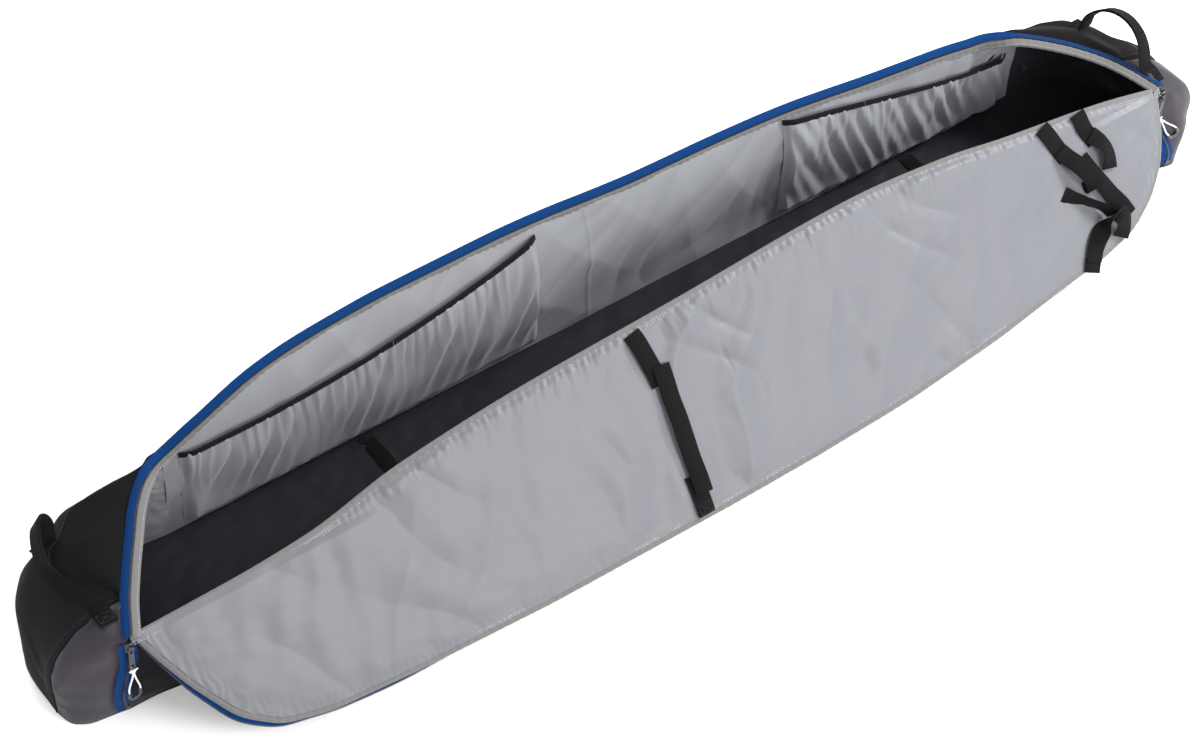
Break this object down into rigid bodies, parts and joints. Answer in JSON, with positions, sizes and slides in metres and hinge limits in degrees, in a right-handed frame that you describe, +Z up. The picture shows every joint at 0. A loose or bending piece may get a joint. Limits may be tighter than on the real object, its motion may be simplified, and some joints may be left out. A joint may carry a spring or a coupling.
{
  "type": "ski bag",
  "caption": "Long soft ski bag lying open on its base, with a zipped lid hinged along the front wall, gathered pockets, tie-down and pole straps and a grab handle at each end.",
  "frame": {"origin": "centre of the base, on the surface the bag lies on", "axes": "+X along the bag towards the end with the lid straps, +Y towards the back wall, +Z up; the lid hangs open on the -Y side"},
  "size_m": [1.97, 0.4374, 0.2475],
  "materials": {
    "shell_black": "matt woven polyester, black",
    "shell_charcoal": "matt woven polyester, charcoal",
    "shell_slate": "matt woven polyester, slate grey",
    "lining_grey": "plain woven lining with a soft sheen, mid grey",
    "lining_dark": "plain woven lining with a soft sheen, dark grey",
    "lid_lining_grey": "plain woven lining with a soft sheen, light grey",
    "binding_grey": "woven binding tape, warm grey",
    "zip_blue": "knitted zip tape, blue",
    "zip_coil": "moulded nylon coil, dark",
    "webbing_black": "black webbing and hook-and-loop tape",
    "elastic_black": "black elastic binding",
    "cord_white": "braided white cord",
    "hardware_black": "black moulded plastic and painted die-casting",
    "board": "closed-cell foam and board, hidden"
  },
  "bodies": {
    "bag": {"base_panel": "shell_charcoal", "base_board": "board", "base_lining": "lining_dark", "front_wall": "shell_charcoal", "front_lining": "lining_grey", "back_wall": "shell_black", "back_lining": "lining_grey", "left_end_wall": "shell_black", "right_end_wall": "shell_black", "left_end_top": "shell_black", "right_end_top": "shell_black", "left_end_lining": "lining_dark", "right_end_lining": "lining_dark", "left_corner_panel": "shell_slate", "right_corner_panel": "shell_slate", "front_ridge": "lid_lining_grey", "hinge_binding": "binding_grey", "back_crown": "shell_black", "body_binding": "binding_grey", "body_zip_tape": "zip_blue", "body_zip_coil": "zip_coil", "closed_zip_tapes": "zip_blue", "closed_zip_coils": "zip_coil", "zip_stops": "hardware_black", "left_pocket": "lining_grey", "right_pocket": "lining_grey", "left_pocket_elastic": "elastic_black", "right_pocket_elastic": "elastic_black", "vent_eyelet": "hardware_black", "handle_patches": "webbing_black", "tie_patches": "webbing_black"},
    "lid": {"lid_outer": "shell_charcoal", "lid_foam": "board", "lid_lining": "lid_lining_grey", "lid_binding": "binding_grey", "lid_zip_tape": "zip_blue", "lid_zip_coil": "zip_coil", "lid_strap_patches": "webbing_black", "mid_strap_tab": "webbing_black"},
    "mid_strap": {"mid_strap": "webbing_black"},
    "end_strap_upper": {"end_strap_upper": "webbing_black"},
    "end_strap_lower": {"end_strap_lower": "webbing_black"},
    "end_strap_short": {"end_strap_short": "webbing_black"},
    "left_slider": {"left_slider": "hardware_black"},
    "right_slider": {"right_slider": "hardware_black"},
    "left_pull": {"left_pull": "hardware_black", "left_pull_cord": "cord_white"},
    "right_pull": {"right_pull": "hardware_black", "right_pull_cord": "cord_white"},
    "left_handle": {"left_handle": "webbing_black"},
    "right_handle": {"right_handle": "webbing_black"},
    "left_tie_back": {"left_tie_back": "webbing_black", "left_buckle_socket": "hardware_black"},
    "left_tie_front": {"left_tie_front": "webbing_black", "left_buckle_plug": "hardware_black"},
    "right_tie_back": {"right_tie_back": "webbing_black", "right_buckle_socket": "hardware_black"},
    "right_tie_front": {"right_tie_front": "webbing_black", "right_buckle_plug": "hardware_black"}
  },
  "joints": [
    {"name": "lid_hinge", "type": "hinge", "parent": "bag", "child": "lid", "pos_m": [0, -0.115, 0.176], "axis": [1, 0, 0], "range_deg": [-225, 0], "deforming": ["front_ridge", "hinge_binding", "back_crown", "body_binding", "body_zip_tape", "body_zip_coil"]},
    {"name": "mid_strap_lift", "type": "hinge", "parent": "lid", "child": "mid_strap", "pos_m": [-0.066, -0.25854, 0.0367], "axis": [1, 0, 0], "range_deg": [0, 45]},
    {"name": "end_strap_upper_lift", "type": "hinge", "parent": "lid", "child": "end_strap_upper", "pos_m": [0.679, -0.12582, 0.16702], "axis": [1, 0, 0], "range_deg": [-60, 0]},
    {"name": "end_strap_lower_lift", "type": "hinge", "parent": "lid", "child": "end_strap_lower", "pos_m": [0.69, -0.2432, 0.04964], "axis": [1, 0, 0], "range_deg": [0, 60]},
    {"name": "end_strap_short_lift", "type": "hinge", "parent": "lid", "child": "end_strap_short", "pos_m": [0.765, -0.12582, 0.16702], "axis": [1, 0, 0], "range_deg": [-60, 0]},
    {"name": "left_slider_slide", "type": "slide", "parent": "bag", "child": "left_slider", "axis": [0, 0, 1], "range_m": [-0.045, 0]},
    {"name": "left_pull_swing", "type": "hinge", "parent": "left_slider", "child": "left_pull", "pos_m": [-0.904, -0.125, 0.164], "axis": [1, 0, 0], "range_deg": [-170, 0]},
    {"name": "right_slider_slide", "type": "slide", "parent": "bag", "child": "right_slider", "axis": [0, 0, 1], "range_m": [-0.045, 0]},
    {"name": "right_pull_swing", "type": "hinge", "parent": "right_slider", "child": "right_pull", "pos_m": [0.904, -0.125, 0.164], "axis": [1, 0, 0], "range_deg": [-170, 0]},
    {"name": "left_handle_swing", "type": "hinge", "parent": "bag", "child": "left_handle", "pos_m": [-0.905, 0.012, 0.18], "axis": [0, 1, 0], "range_deg": [0, 85]},
    {"name": "right_handle_swing", "type": "hinge", "parent": "bag", "child": "right_handle", "pos_m": [0.905, -0.008, 0.18], "axis": [0, 1, 0], "range_deg": [-50, 35]},
    {"name": "left_tie_back_lift", "type": "hinge", "parent": "bag", "child": "left_tie_back", "pos_m": [-0.4, 0.088, 0.0127], "axis": [1, 0, 0], "range_deg": [-80, 0]},
    {"name": "left_tie_front_lift", "type": "hinge", "parent": "bag", "child": "left_tie_front", "pos_m": [-0.4, -0.088, 0.0127], "axis": [1, 0, 0], "range_deg": [0, 80]},
    {"name": "right_tie_back_lift", "type": "hinge", "parent": "bag", "child": "right_tie_back", "pos_m": [0.6, 0.088, 0.0127], "axis": [1, 0, 0], "range_deg": [-80, 0]},
    {"name": "right_tie_front_lift", "type": "hinge", "parent": "bag", "child": "right_tie_front", "pos_m": [0.6, -0.088, 0.0127], "axis": [1, 0, 0], "range_deg": [0, 80]}
  ]
}
